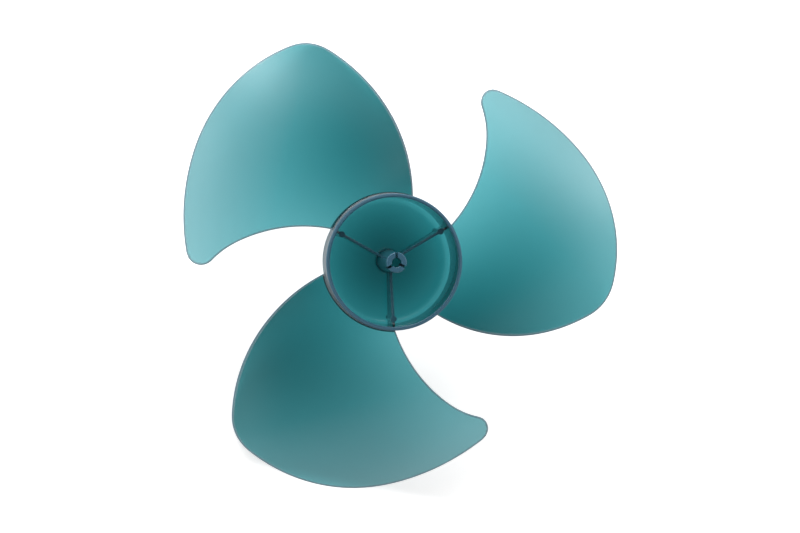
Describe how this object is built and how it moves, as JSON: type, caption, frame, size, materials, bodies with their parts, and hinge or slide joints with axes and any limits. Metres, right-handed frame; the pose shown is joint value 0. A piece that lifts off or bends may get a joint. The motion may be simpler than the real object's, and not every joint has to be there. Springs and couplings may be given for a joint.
{
  "type": "axial fan impeller",
  "caption": "Moulded axial fan impeller: an open hub cup with a split shaft boss, carrying broad, forward-swept blades that are twisted and cambered.",
  "frame": {"origin": "on the shaft axis, in the plane of the hub cup's rim, inside the shaft bore", "axes": "+Z along the shaft axis, out of the cup's mouth towards the motor; +X along the middle of the first blade; seen from +Z it turns anticlockwise"},
  "size_m": [0.3687, 0.3812, 0.0758],
  "materials": {
    "tinted_styrene": "gloss"
  },
  "bodies": {
    "root": {"impeller": "tinted_styrene"}
  },
  "joints": []
}
